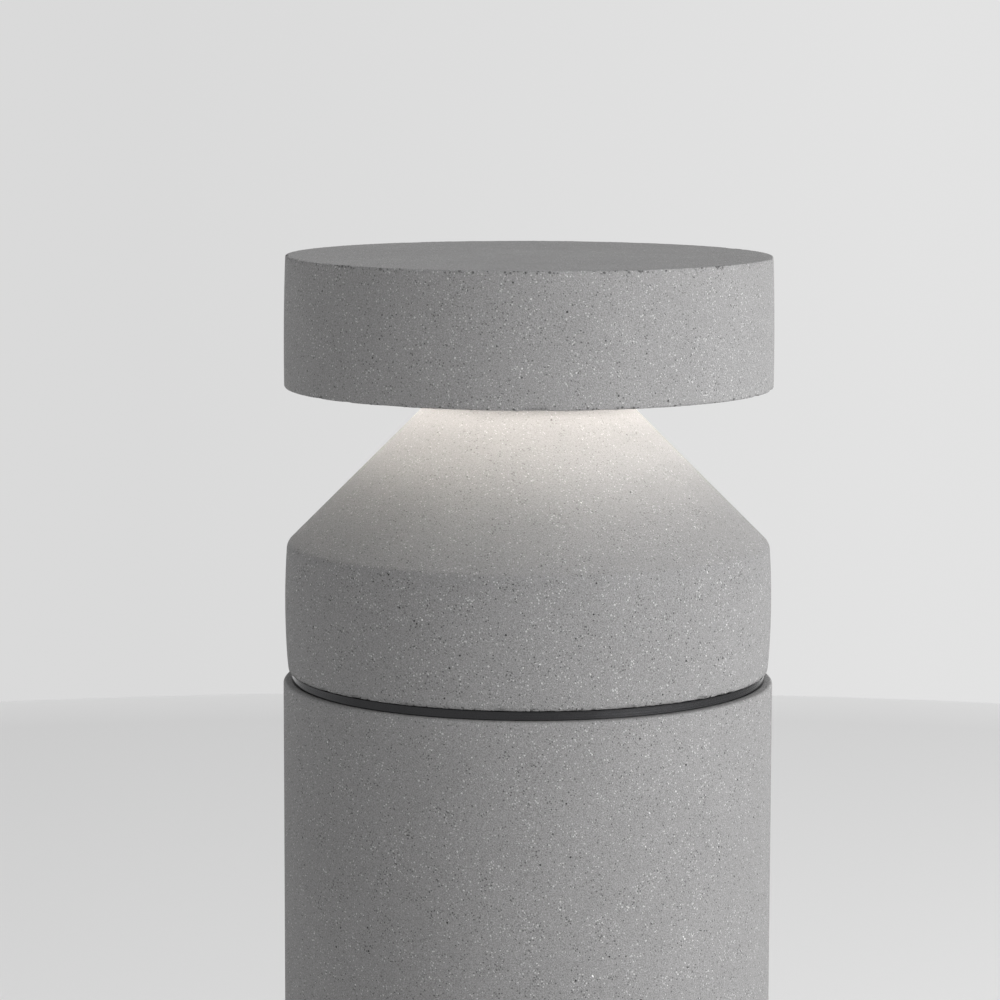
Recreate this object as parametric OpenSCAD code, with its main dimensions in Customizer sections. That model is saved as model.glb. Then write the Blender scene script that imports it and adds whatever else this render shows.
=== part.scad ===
// Garden bollard light in cast concrete.
// A hollow concrete column is clamped between an anchor plate and a collar. The head sits on
// the collar: a drum that runs up into a 45 degree cone, and a thick round cap above it that
// holds a ring light shining down on the cone. The head lifts straight off for service.
// Millimetres, +Z up, origin on the ground on the column's axis, front towards -Y.

/* [Overall] */
// Height from the ground to the top of the cap
total_h = 650; // [640:1:900]
// Diameter of the column
column_d = 250; // [248:1:260]
// Diameter of the cap at its lower edge
cap_d = 248; // [244:1:260]

/* [Head] */
// Thickness of the cap
cap_h = 66.5; // [64:0.5:90]
// How much smaller the cap's radius is at the top
cap_draft = 0.8; // [0:0.1:1.5]
// How far the cap's side bulges beyond a straight line
cap_bulge = 0.4; // [0:0.1:1]
// Height of the cone, from its shoulder to the level of the cap's underside
cone_h = 80.15; // [78:0.05:84]
// Height of the drum below the shoulder
drum_h = 65.25; // [64:0.25:80]
// Radius of the drum at its shoulder
shoulder_r = 122.9; // [121:0.1:124]
// Radius of the drum at its foot
foot_r = 122.5; // [121:0.1:124]
// How far the drum's side bulges beyond a straight line
drum_bulge = 1.3; // [0:0.1:2]
// Radius of the rounded shoulder
shoulder_round = 6.4; // [3:0.1:9]
// Gap between the top of the cone and the level of the cap's underside
neck_gap = 5; // [4:0.5:6]

/* [Column] */
// Thickness of the column's wall
column_wall = 33; // [30:1:35]
// Height of the dark gap between column and drum
joint_gap = 4.7; // [4:0.1:5]
// Thickness of the rubber ring under the column
foot_seal_h = 3; // [2:0.5:4]

/* [Fixing to the ground] */
// Thickness of the anchor plate
plate_h = 8; // [8:1:10]
// Diameter of the circle of anchor holes
anchor_pcd = 140; // [136:1:150]
// Diameter of an anchor hole
anchor_hole_d = 11; // [9:0.5:12]
// Diameter of the cable entry in the anchor plate
cable_entry_d = 44; // [36:1:48]

/* [Ring light] */
// Inner radius of the diffuser
light_in_r = 52; // [51:0.5:56]
// Outer radius of the diffuser
light_out_r = 98; // [92:0.5:98]
// Number of LEDs in the outer row; the inner row has a third as many
led_count = 36; // [12:3:48]

/* [Hidden] */
$fn = 96;

// Clearance between a hole and the piece of the same body that fills it
fit = 0.1;
// Clearance all round between the head and the base
slip = 0.4;
// Colours
concrete = [0.60, 0.60, 0.59];
dark_metal = [0.16, 0.16, 0.17];
bare_metal = [0.72, 0.73, 0.75];
zinc = [0.62, 0.64, 0.66];
brass = [0.72, 0.58, 0.30];
black_rubber = [0.08, 0.08, 0.08];
dark_plastic = [0.13, 0.13, 0.14];
white_plastic = [0.92, 0.92, 0.90];
pale_grey = [0.83, 0.83, 0.83];
earth_green = [0.50, 0.70, 0.15];
warm_light = [1.00, 0.92, 0.80];

// Levels, from the ground up
cap_under_z = total_h - cap_h;
shoulder_z = cap_under_z - cone_h;
drum_bottom_z = shoulder_z - drum_h;
column_top_z = drum_bottom_z - joint_gap;
neck_top_z = cap_under_z - neck_gap;

// Column
column_r = column_d / 2;
column_bore_r = column_r - column_wall;
column_edge = 1.5;
plate_r = 103.5;
plate_seat_r = 104;
foot_seal_in_r = 106;
foot_seal_out_r = 122;

// Collar: a lip seen in the gap, a hub in the column's seat, and a foot flange for the rods
collar_lip_r = 121;
collar_hub_r = 104.5;
collar_seat_r = 105;
collar_seat_z = column_top_z - 30;
collar_flange_h = 6;
collar_flange_in_r = 66;
collar_gasket_h = 0.5;
collar_top_z = drum_bottom_z - 0.3;

// Tie rods, M8
rod_angles = [30, 150, 270];
rod_r = 4;
rod_circle_r = 78;
rod_top_z = collar_seat_z + collar_flange_h + 11;
rod_nut_h = 6.5;
rod_nut_flats = 13;
rod_washer_r = 7.5;
rod_washer_h = 1.6;
anchor_angles = [90, 210, 330];

// Set screws, M3, all on the back half, reached through notches under the collar's lip
set_screw_angles = [25, 90, 155];
set_screw_r = 1.5;
set_screw_length = 7;
set_screw_z = column_top_z + 1.5;
set_screw_notch_w = 4;

// Spigot flange under the head, held by M6 screws with low heads
spigot_r = 96;
spigot_in_r = 88;
spigot_depth = 18;
head_flange_r = 111.5;
head_flange_in_r = 78;
head_recess_r = 112;
head_recess_h = 6;
head_flange_z = drum_bottom_z + 0.5;
head_flange_top_z = drum_bottom_z + head_recess_h;
hub_bore_r = spigot_r + slip;
flange_screw_angles = [30, 90, 150, 210, 270, 330];
flange_screw_circle_r = 104;
flange_screw_head_r = 5.6;
flange_screw_head_h = 3;
counterbore_r = 5.8;

// Brass inserts for M6 screws, cast into the head block and the cap
insert_r = 4.5;
insert_l = 16;
insert_screw_r = 3;

// Hollow of the head
cavity_r = 94;
cavity_cone_z = head_flange_top_z + 54;
cavity_ceiling_r = 44;
cavity_ceiling_z = cavity_cone_z + cavity_r - cavity_ceiling_r;

// Stem, a threaded tube M30
stem_r = 15;
stem_bore_r = 11;
stem_nut_h = 7;
stem_nut_flats = 36;
stem_washer_r = 34;
stem_washer_h = 3;
stem_bottom_z = cavity_ceiling_z - stem_washer_h - stem_nut_h - 4;

// Ring light, built down from the roof of the cap's pocket
pocket_r = 108;
pocket_roof_z = cap_under_z + 25;
nut_pocket_r = 28;
nut_pocket_h = 20;
small_screw_r = 1.5;
housing_r = 107.5;
housing_plate_h = 6;
housing_plate_z = pocket_roof_z - housing_plate_h - 0.3;
housing_rim_z = cap_under_z + 3.7;
housing_ledge_r = light_out_r - 3;
housing_hub_r = 50.5;
spacer_r = 29.5;
diffuser_z = housing_rim_z;
diffuser_h = 3;
diffuser_gasket_h = 1.5;
diffuser_top_z = diffuser_z + diffuser_h;
hub_z = diffuser_top_z + diffuser_gasket_h;
bezel_z = cap_under_z + 0.5;
outer_bezel_in_r = light_out_r - 4.5;
inner_bezel_out_r = light_in_r + 4.5;
outer_bezel_screw_r = 102.5;
inner_bezel_screw_r = 45;
inner_bezel_screw_angles = [60, 180, 300];
board_in_r = 54;
board_out_r = light_out_r - 4;
board_h = 1.6;
pad_h = 1;
board_z = housing_plate_z - pad_h - board_h;
outer_led_circle_r = board_out_r - 6;
inner_led_circle_r = board_in_r + 11;
led_size = 3.4;
led_h = 0.8;
housing_screw_circle_r = 38;
housing_screw_angles = [45, 135, 225, 315];
housing_counterbore_h = 7;
wire_z = hub_z + 5.5;
wire_hole_r = 3.5;
neck_gasket_h = 1.5;

// Connector on the axis: the plug rides with the head, the socket stays in the column.
// The plug's pins stand in a recess in the floor of the socket.
socket_bridge_h = 3;
bridge_w = 44;
bridge_half_l = 84;
socket_bridge_z = collar_seat_z + collar_flange_h;
socket_r = 14;
socket_flange_w = 4;
socket_bore_r = 10 + slip;
socket_recess_r = 6.5;
socket_recess_h = 6;
socket_top_z = socket_bridge_z + 14;
socket_floor_z = socket_bridge_z - 2;
socket_bottom_z = socket_bridge_z - 16;
plug_r = 10;
plug_body_r = 13;
plug_neck_r = 9;
pin_r = 1.2;
pin_circle_r = 4.5;
lead_r = 2.6;
plug_tip_z = socket_floor_z + 2;
plug_bridge_z = head_flange_top_z;
plug_bridge_h = 3;
bridge_screw_r = 2;
plug_bridge_screw_x = 84;
socket_bridge_screw_x = 78;

// Gear tray, driver and terminal box inside the column
tray_y = 24;
tray_t = 2;
tray_w = 108;
tray_top_z = 340;
tray_foot_depth = 30;
tray_screw_r = 2.5;
tray_screw_x = 40;
tray_screw_y = tray_y + 18;
driver_w = 60;
driver_d = 32;
driver_z = 150;
driver_l = 160;
driver_screw_r = 2;
driver_screw_x = 20;
end_cap_h = 5;
end_cap_foot_l = 16;
end_cap_foot_t = 4;
box_w = 90;
box_d = 44;
box_z = 62;
box_h = 60;
box_wall = 3;
lid_t = 4;
lid_gasket_t = 1;
box_front_y = tray_y - box_d;
lid_screw_inset = 5;
boss_r = 4.5;
gland_r = 10;
gland_thread_r = 8;
gland_thread_l = 10;
gland_body_flats = 24;
gland_body_h = 6;
gland_nut_flats = 22;
gland_nut_h = 4;
supply_cable_r = 5;
driver_gland_x = 20;
gland_y = 2;
driver_cable_r = 3.2;

// Earth stud on the anchor plate, and its lead out of the terminal box
earth_x = -45;
earth_y = -60;
earth_r = 2.5;
earth_nut_h = 4;
earth_upper_nut_z = plate_h + 12;
earth_tag_h = 1.7;
earth_lead_r = 1.6;
earth_entry_x = -30;
earth_entry_r = 2;

// Routes of the fixed leads, through the middle of each lead
LED_LEAD_ROUTE = [
    [56, 0, wire_z], [50, 0, wire_z], [30, 0, wire_z], [14, 0, wire_z], [6, 0, wire_z - 3],
    [1, 0, wire_z - 12], [0, 0, wire_z - 30], [0, 0, stem_bottom_z], [0, 0, plug_bridge_z + 28],
    [0, 0, plug_bridge_z + 4.5]
];
SOCKET_LEAD_ROUTE = [
    [0, 8, driver_z + driver_l + end_cap_h], [0, 8, driver_z + driver_l + 14],
    [0, 8, driver_z + driver_l + 24],
    [0, 5, driver_z + driver_l + 44], [0, 1, driver_z + driver_l + 62],
    [0, 0, socket_bottom_z - 12], [0, 0, socket_bottom_z - 4], [0, 0, socket_bottom_z]
];
DRIVER_LEAD_ROUTE = [
    [driver_gland_x, gland_y, box_z + box_h - 12], [driver_gland_x, gland_y, driver_z - end_cap_h]
];
EARTH_LEAD_ROUTE = [
    [earth_entry_x, gland_y, box_z + 8], [earth_entry_x, gland_y, box_z - 2],
    [earth_entry_x, gland_y - 1, box_z - 10], [-33, -10, box_z - 24], [-40, -34, 34],
    [earth_x, earth_y + 12, 21], [earth_x, earth_y + 4.5, 17.6]
];

// Points along an arc about a centre
function arc(centre, r, a0, a1, steps) =
    [for (i = [0:steps]) centre + r * [cos(a0 + (a1 - a0) * i / steps), sin(a0 + (a1 - a0) * i / steps)]];

// Radius at a share t of the height of a side that runs from r0 to r1 with a bulge
function bulged(r0, r1, bulge, t) = r0 * (1 - t) + r1 * t + 4 * bulge * t * (1 - t);

// Radius of the drum's side at a share t of its height
function drum_side_r(t) = bulged(foot_r, shoulder_r, drum_bulge, t);

// Direction of a vector
function unit(v) = v / norm(v);

// A point on a smooth curve through four points, at a share t between the middle two
function spline_point(a, b, c, d, t) =
    0.5 * (2 * b + (c - a) * t + (2 * a - 5 * b + 4 * c - d) * t * t + (3 * b - a - 3 * c + d) * t * t * t);

// A smooth route through all the given points
function smooth(p, steps) = [
    for (i = [0:len(p) - 2], s = [0:steps - 1])
        spline_point(p[max(i - 1, 0)], p[i], p[i + 1], p[min(i + 2, len(p) - 1)], s / steps),
    p[len(p) - 1]
];

// Direction of a route at one of its points
function heading(p, i) = unit(p[min(i + 1, len(p) - 1)] - p[max(i - 1, 0)]);

// A tube of 8 sides along a smooth route, where side is a direction the route never takes
module tube(route, r, side) {
    sides = 8;
    p = smooth(route, 4);
    points = [
        for (i = [0:len(p) - 1], k = [0:sides - 1])
            let (t = heading(p, i), u = unit(cross(t, side)), v = cross(t, u))
                p[i] + r * (cos(360 * k / sides) * u + sin(360 * k / sides) * v)
    ];
    walls = [
        for (i = [0:len(p) - 2], k = [0:sides - 1])
            let (n = (k + 1) % sides)
                [i * sides + k, (i + 1) * sides + k, (i + 1) * sides + n, i * sides + n]
    ];
    ends = [
        [for (k = [0:sides - 1]) k],
        [for (k = [sides - 1:-1:0]) (len(p) - 1) * sides + k]
    ];
    polyhedron(points, concat(walls, ends));
}

// A ring about the axis, from z0 to z1
module ring(outer_r, inner_r, z0, z1) {
    translate([0, 0, z0])
        difference() {
            cylinder(r = outer_r, h = z1 - z0);
            translate([0, 0, -1]) cylinder(r = inner_r, h = z1 - z0 + 2);
        }
}

// A disc or rod about the axis, from z0 to z1
module rod(r, z0, z1) {
    translate([0, 0, z0]) cylinder(r = r, h = z1 - z0);
}

// Copies of the children on a circle
module around(angles, r) {
    for (a = angles)
        rotate([0, 0, a])
            translate([r, 0, 0])
                children();
}

// Evenly spread angles
function spread(count) = [for (i = [0:count - 1]) 360 * i / count];

// Socket head screw with its head above the origin and its shank below it
module cap_screw(r, shank) {
    difference() {
        cylinder(r = 1.75 * r, h = 2 * r, $fn = 32);
        translate([0, 0, r]) cylinder(r = 0.95 * r, h = 2 * r, $fn = 6);
    }
    translate([0, 0, -shank]) cylinder(r = r, h = shank + 0.01, $fn = 32);
}

// Countersunk screw pointing down, with the flat of its head at the origin
module flat_screw(r, length) {
    difference() {
        translate([0, 0, -r]) cylinder(r1 = r, r2 = 2 * r, h = r, $fn = 32);
        translate([0, 0, -0.6 * r]) cylinder(r = 0.8 * r, h = r, $fn = 6);
    }
    translate([0, 0, -length]) cylinder(r = r, h = length - r + 0.01, $fn = 32);
}

// Hex nut, standing on the origin
module hex_nut(bore_r, flats, h) {
    difference() {
        cylinder(r = flats / 2 / cos(30), h = h, $fn = 6);
        translate([0, 0, -1]) cylinder(r = bore_r, h = h + 2, $fn = 48);
    }
}

// ---- Base: everything that stays in the ground ----

module base_column() {
    outline = concat(
        [[plate_seat_r, foot_seal_h], [column_r - 2, foot_seal_h], [column_r, foot_seal_h + 2]],
        arc([column_r - column_edge, column_top_z - column_edge], column_edge, 0, 90, 4),
        [[collar_seat_r, column_top_z], [collar_seat_r, collar_seat_z],
         [column_bore_r, collar_seat_z], [column_bore_r, plate_h], [plate_seat_r, plate_h]]
    );
    color(concrete) rotate_extrude() polygon(outline);
}

module foot_seal() {
    color(black_rubber) ring(foot_seal_out_r, foot_seal_in_r, 0, foot_seal_h);
}

module anchor_plate() {
    color(zinc)
        difference() {
            rod(plate_r, 0, plate_h);
            rod(cable_entry_d / 2, -1, plate_h + 1);
            around(anchor_angles, anchor_pcd / 2) rod(anchor_hole_d / 2, -1, plate_h + 1);
            around(rod_angles, rod_circle_r) rod(rod_r + fit, -1, plate_h + 1);
            for (x = [-tray_screw_x, tray_screw_x])
                translate([x, tray_screw_y, 0]) rod(tray_screw_r + fit, -1, plate_h + 1);
            translate([earth_x, earth_y, 0]) rod(earth_r + fit, -1, plate_h + 1);
        }
}

module tie_rods() {
    color(zinc) around(rod_angles, rod_circle_r) rod(rod_r, 1, rod_top_z);
}

module tie_rod_washers() {
    z = collar_seat_z + collar_flange_h;
    color(zinc) around(rod_angles, rod_circle_r) ring(rod_washer_r, rod_r + fit, z, z + rod_washer_h);
}

module tie_rod_nuts() {
    z = collar_seat_z + collar_flange_h + rod_washer_h;
    color(zinc)
        around(rod_angles, rod_circle_r) {
            translate([0, 0, z]) hex_nut(rod_r + fit, rod_nut_flats, rod_nut_h);
            translate([0, 0, plate_h]) hex_nut(rod_r + fit, rod_nut_flats, rod_nut_h);
        }
}

module collar() {
    lip_z = column_top_z + collar_gasket_h;
    outline = [
        [collar_flange_in_r, collar_seat_z], [collar_hub_r, collar_seat_z],
        [collar_hub_r, lip_z], [collar_lip_r, lip_z],
        [collar_lip_r, collar_top_z], [hub_bore_r, collar_top_z],
        [hub_bore_r, collar_seat_z + collar_flange_h], [collar_flange_in_r, collar_seat_z + collar_flange_h]
    ];
    notch_h = set_screw_z + set_screw_r + fit - lip_z;
    color(dark_metal)
        difference() {
            rotate_extrude() polygon(outline);
            around(rod_angles, rod_circle_r)
                rod(rod_r + fit, collar_seat_z - 1, collar_seat_z + collar_flange_h + 1);
            for (x = [-socket_bridge_screw_x, socket_bridge_screw_x])
                translate([x, 0, 0])
                    rod(bridge_screw_r + fit, collar_seat_z - 1, collar_seat_z + collar_flange_h + 1);
            for (a = set_screw_angles)
                rotate([0, 0, a]) {
                    translate([hub_bore_r - 2, 0, set_screw_z])
                        rotate([0, 90, 0])
                            cylinder(r = set_screw_r + fit, h = 14, $fn = 32);
                    translate([collar_hub_r, -set_screw_notch_w / 2, lip_z - 1])
                        cube([20, set_screw_notch_w, notch_h + 1]);
                }
        }
}

module collar_gasket() {
    color(black_rubber)
        ring(collar_lip_r - 1.5, collar_seat_r, column_top_z, column_top_z + collar_gasket_h);
}

module set_screws() {
    // Backed off from the spigot by the slip
    color(bare_metal)
        for (a = set_screw_angles)
            rotate([0, 0, a])
                translate([hub_bore_r + 0.2, 0, set_screw_z])
                    rotate([0, 90, 0])
                        difference() {
                            cylinder(r = set_screw_r, h = set_screw_length, $fn = 32);
                            translate([0, 0, set_screw_length - 2])
                                cylinder(r = 0.8, h = 3, $fn = 6);
                        }
}

module gear_tray() {
    color(zinc)
        difference() {
            union() {
                translate([-tray_w / 2, tray_y, plate_h])
                    cube([tray_w, tray_t, tray_top_z - plate_h]);
                translate([-tray_w / 2, tray_y, plate_h])
                    cube([tray_w, tray_foot_depth, tray_t]);
            }
            for (x = [-tray_screw_x, tray_screw_x])
                translate([x, tray_screw_y, plate_h - 1])
                    cylinder(r = tray_screw_r + fit, h = tray_t + 2, $fn = 32);
            for (x = [-driver_screw_x, driver_screw_x], end = [-1, 1])
                translate([x, tray_y - 1, driver_screw_z(end)])
                    rotate([-90, 0, 0])
                        cylinder(r = driver_screw_r + fit, h = tray_t + 2, $fn = 32);
        }
}

// Level of the screws in the driver's lower (-1) or upper (1) foot
function driver_screw_z(end) =
    driver_z + driver_l / 2 + end * (driver_l / 2 + end_cap_h + end_cap_foot_l / 2);

module gear_tray_screws() {
    color(bare_metal)
        for (x = [-tray_screw_x, tray_screw_x])
            translate([x, tray_screw_y, plate_h + tray_t])
                cap_screw(tray_screw_r, 9);
}

module led_driver() {
    color(bare_metal)
        translate([-driver_w / 2, tray_y - driver_d, driver_z])
            difference() {
                cube([driver_w, driver_d, driver_l]);
                for (i = [0:6])
                    translate([6 + 7 * i, -1, 8]) cube([3, 2.5, driver_l - 16]);
            }
}

module driver_end_caps() {
    color(dark_plastic)
        for (end = [-1, 1]) {
            z0 = end < 0 ? driver_z - end_cap_h : driver_z + driver_l;
            foot_z0 = end < 0 ? z0 - end_cap_foot_l : z0;
            difference() {
                union() {
                    translate([-driver_w / 2, tray_y - driver_d, z0]) cube([driver_w, driver_d, end_cap_h]);
                    translate([-driver_w / 2, tray_y - end_cap_foot_t, foot_z0])
                        cube([driver_w, end_cap_foot_t, end_cap_foot_l + end_cap_h]);
                }
                for (x = [-driver_screw_x, driver_screw_x])
                    translate([x, tray_y - end_cap_foot_t - 1, driver_screw_z(end)])
                        rotate([-90, 0, 0])
                            cylinder(r = driver_screw_r + fit, h = end_cap_foot_t + 2, $fn = 32);
            }
        }
}

module driver_screws() {
    color(bare_metal)
        for (x = [-driver_screw_x, driver_screw_x], end = [-1, 1])
            translate([x, tray_y - end_cap_foot_t, driver_screw_z(end)])
                rotate([90, 0, 0])
                    cap_screw(driver_screw_r, end_cap_foot_t + tray_t);
}

module terminal_box() {
    inner_w = box_w - 2 * box_wall;
    color(dark_plastic)
        difference() {
            translate([-box_w / 2, box_front_y, box_z]) cube([box_w, box_d, box_h]);
            translate([-inner_w / 2, box_front_y - 1, box_z + box_wall])
                cube([inner_w, box_d - box_wall + 1, box_h - 2 * box_wall]);
            translate([0, gland_y, box_z - 1]) cylinder(r = gland_thread_r + fit, h = box_wall + 2);
            translate([driver_gland_x, gland_y, box_z + box_h - box_wall - 1])
                cylinder(r = gland_thread_r + fit, h = box_wall + 2);
            translate([earth_entry_x, gland_y, box_z - 1]) cylinder(r = earth_entry_r, h = box_wall + 2);
        }
    // Bosses for the lid's screws stand in the corners
    color(dark_plastic)
        lid_corners()
            translate([0, box_front_y, 0])
                rotate([-90, 0, 0])
                    difference() {
                        cylinder(r = boss_r, h = box_d - 1, $fn = 32);
                        translate([0, 0, -1]) cylinder(r = small_screw_r + fit, h = 14, $fn = 32);
                    }
}

// The four corners of the terminal box, in the plane of its lid
module lid_corners() {
    for (x = [-1, 1], z = [-1, 1])
        translate([0, 0, box_z + box_h / 2])
            translate([x * (box_w / 2 - lid_screw_inset), 0, z * (box_h / 2 - lid_screw_inset)])
                children();
}

module terminal_box_lid() {
    y = box_front_y - lid_gasket_t - lid_t;
    color(dark_plastic)
        difference() {
            translate([-box_w / 2, y, box_z]) cube([box_w, lid_t, box_h]);
            lid_corners()
                translate([0, y - 1, 0])
                    rotate([-90, 0, 0])
                        cylinder(r = small_screw_r + fit, h = lid_t + 2, $fn = 32);
        }
}

module lid_gasket() {
    color(black_rubber)
        difference() {
            translate([-box_w / 2, box_front_y - lid_gasket_t, box_z]) cube([box_w, lid_gasket_t, box_h]);
            translate([-box_w / 2 + 10, box_front_y - 2, box_z + 10]) cube([box_w - 20, 4, box_h - 20]);
            lid_corners()
                translate([0, box_front_y - 2, 0])
                    rotate([-90, 0, 0])
                        cylinder(r = small_screw_r + fit, h = 4, $fn = 32);
        }
}

module lid_screws() {
    color(bare_metal)
        lid_corners()
            translate([0, box_front_y - lid_gasket_t - lid_t, 0])
                rotate([90, 0, 0])
                    cap_screw(small_screw_r, 15);
}

module terminal_block() {
    poles = 5;
    pitch = 10;
    color(white_plastic)
        translate([-poles * pitch / 2, tray_y - box_wall - 20, box_z + 22])
            difference() {
                cube([poles * pitch, 20, 18]);
                for (i = [0:poles - 1])
                    translate([pitch * (i + 0.5), -1, 9])
                        rotate([-90, 0, 0])
                            cylinder(r = 2.5, h = 6, $fn = 24);
                for (i = [1:poles - 1])
                    translate([pitch * i - 0.5, -1, 14]) cube([1, 22, 5]);
            }
}

// A cable gland that stands on the origin, with its thread below it
module gland(cable_r) {
    dome_h = 8;
    difference() {
        union() {
            cylinder(r = gland_body_flats / 2 / cos(30), h = gland_body_h, $fn = 6);
            cylinder(r = gland_r, h = gland_body_h + dome_h);
            translate([0, 0, -gland_thread_l]) cylinder(r = gland_thread_r, h = gland_thread_l + 1);
        }
        translate([0, 0, -gland_thread_l - 1])
            cylinder(r = cable_r + fit, h = gland_thread_l + gland_body_h + dome_h + 2);
    }
}

module supply_gland() {
    color(dark_plastic)
        translate([0, gland_y, box_z])
            mirror([0, 0, 1])
                gland(supply_cable_r);
}

module supply_gland_nut() {
    color(dark_plastic)
        translate([0, gland_y, box_z + box_wall])
            hex_nut(gland_thread_r + fit, gland_nut_flats, gland_nut_h);
}

module driver_gland() {
    color(dark_plastic)
        translate([driver_gland_x, gland_y, box_z + box_h])
            gland(driver_cable_r);
}

module driver_gland_nut() {
    color(dark_plastic)
        translate([driver_gland_x, gland_y, box_z + box_h - box_wall - gland_nut_h])
            hex_nut(gland_thread_r + fit, gland_nut_flats, gland_nut_h);
}

module driver_lead() {
    color(black_rubber) tube(DRIVER_LEAD_ROUTE, driver_cable_r, [0, 1, 0]);
}

module earth_stud() {
    color(brass) translate([earth_x, earth_y, 0]) rod(earth_r, 1, plate_h + 22);
}

module earth_nuts() {
    color(brass)
        for (z = [plate_h, earth_upper_nut_z])
            translate([earth_x, earth_y, z])
                hex_nut(earth_r + fit, 8, earth_nut_h);
}

module earth_lead() {
    // Ends in a flat ring tag under the upper nut
    color(earth_green) tube(EARTH_LEAD_ROUTE, earth_lead_r, [1, 0, 0]);
    color(brass)
        translate([earth_x, earth_y, 0])
            ring(4.5, earth_r + fit, earth_upper_nut_z - fit - earth_tag_h, earth_upper_nut_z - fit);
}

module socket_bridge() {
    color(zinc)
        difference() {
            translate([-bridge_half_l, -bridge_w / 2, socket_bridge_z])
                cube([2 * bridge_half_l, bridge_w, socket_bridge_h]);
            rod(socket_r + fit, socket_bridge_z - 1, socket_bridge_z + socket_bridge_h + 1);
            for (x = [-socket_bridge_screw_x, socket_bridge_screw_x])
                translate([x, 0, 0])
                    rod(bridge_screw_r + fit, socket_bridge_z - 1, socket_bridge_z + socket_bridge_h + 1);
            // The strip narrows to tongues that rest on the collar's flange
            for (x = [-1, 1], y = [-1, 1])
                translate([x * 72, y * 23, socket_bridge_z])
                    cube([32, 22, 20], center = true);
        }
}

module socket_bridge_screws() {
    color(bare_metal)
        for (x = [-socket_bridge_screw_x, socket_bridge_screw_x])
            translate([x, 0, socket_bridge_z + socket_bridge_h])
                cap_screw(bridge_screw_r, 8);
}

module connector_socket() {
    flange_z = socket_bridge_z + socket_bridge_h;
    color(dark_plastic)
        difference() {
            union() {
                rod(socket_r, socket_bottom_z, socket_top_z);
                rod(socket_r + socket_flange_w, flange_z, flange_z + 3);
            }
            rod(socket_bore_r, socket_floor_z, socket_top_z + 1);
            rod(socket_recess_r, socket_floor_z - socket_recess_h, socket_floor_z + 1);
        }
}

module socket_lead() {
    color(black_rubber) tube(SOCKET_LEAD_ROUTE, lead_r, [1, 0, 0]);
}

// ---- Head: everything that lifts off ----

module head_block() {
    foot_edge = 1.5;
    round_z = shoulder_z - shoulder_round * tan(22.5);
    round_t = (round_z - drum_bottom_z) / drum_h;
    foot_t = foot_edge / drum_h;
    side_steps = 10;
    outline = concat(
        arc([foot_r - foot_edge, drum_bottom_z + foot_edge], foot_edge, -90, 0, 3),
        [for (i = [1:side_steps - 1])
            let (t = foot_t + (round_t - foot_t) * i / side_steps)
                [drum_side_r(t), drum_bottom_z + t * drum_h]],
        arc([drum_side_r(round_t) - shoulder_round, round_z], shoulder_round, 0, 45, 6),
        [[shoulder_r + shoulder_z - neck_top_z, neck_top_z], [stem_r + fit, neck_top_z],
         [stem_r + fit, cavity_ceiling_z], [cavity_ceiling_r, cavity_ceiling_z],
         [cavity_r, cavity_cone_z], [cavity_r, head_flange_top_z],
         [head_recess_r, head_flange_top_z], [head_recess_r, drum_bottom_z]]
    );
    color(concrete)
        difference() {
            rotate_extrude() polygon(outline);
            around(flange_screw_angles, flange_screw_circle_r)
                rod(insert_r + fit, head_flange_top_z - 1, head_flange_top_z + insert_l + fit);
        }
}

// A brass insert, cast into the concrete with its mouth down
module cast_insert(z0) {
    difference() {
        rod(insert_r, z0, z0 + insert_l);
        rod(insert_screw_r + fit, z0 - 1, z0 + insert_l - 2);
    }
}

module block_inserts() {
    color(brass)
        around(flange_screw_angles, flange_screw_circle_r)
            cast_insert(head_flange_top_z);
}

module head_flange() {
    outline = [
        [spigot_in_r, drum_bottom_z - spigot_depth], [spigot_r - 1, drum_bottom_z - spigot_depth],
        [spigot_r, drum_bottom_z - spigot_depth + 1], [spigot_r, head_flange_z],
        [head_flange_r, head_flange_z], [head_flange_r, head_flange_top_z],
        [head_flange_in_r, head_flange_top_z], [head_flange_in_r, head_flange_z], [spigot_in_r, head_flange_z]
    ];
    color(bare_metal)
        difference() {
            rotate_extrude() polygon(outline);
            around(flange_screw_angles, flange_screw_circle_r) {
                rod(insert_screw_r + fit, head_flange_z - 1, head_flange_top_z + 1);
                rod(counterbore_r, head_flange_z - 1, head_flange_z + flange_screw_head_h + 0.2);
            }
            for (x = [-plug_bridge_screw_x, plug_bridge_screw_x])
                translate([x, 0, 0]) rod(bridge_screw_r + fit, head_flange_z - 1, head_flange_top_z + 1);
        }
}

module flange_screws() {
    // Low heads that sit in the flange, driven from below
    head_z = head_flange_z + 0.2;
    color(bare_metal)
        around(flange_screw_angles, flange_screw_circle_r)
            difference() {
                union() {
                    rod(flange_screw_head_r, head_z, head_z + flange_screw_head_h);
                    rod(insert_screw_r, head_z + 1, head_flange_top_z + 12);
                }
                translate([0, 0, head_z - 1]) cylinder(r = 2.2, h = 3, $fn = 6);
            }
}

module plug_bridge() {
    color(zinc)
        difference() {
            translate([-bridge_half_l - 6, -bridge_w / 4, plug_bridge_z])
                cube([2 * bridge_half_l + 12, bridge_w / 2, plug_bridge_h]);
            rod(plug_neck_r, plug_bridge_z - 1, plug_bridge_z + plug_bridge_h + 1);
            for (x = [-plug_bridge_screw_x, plug_bridge_screw_x])
                translate([x, 0, 0])
                    rod(bridge_screw_r + fit, plug_bridge_z - 1, plug_bridge_z + plug_bridge_h + 1);
        }
}

module plug_bridge_screws() {
    color(bare_metal)
        for (x = [-plug_bridge_screw_x, plug_bridge_screw_x])
            translate([x, 0, plug_bridge_z + plug_bridge_h])
                cap_screw(bridge_screw_r, 7);
}

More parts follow.
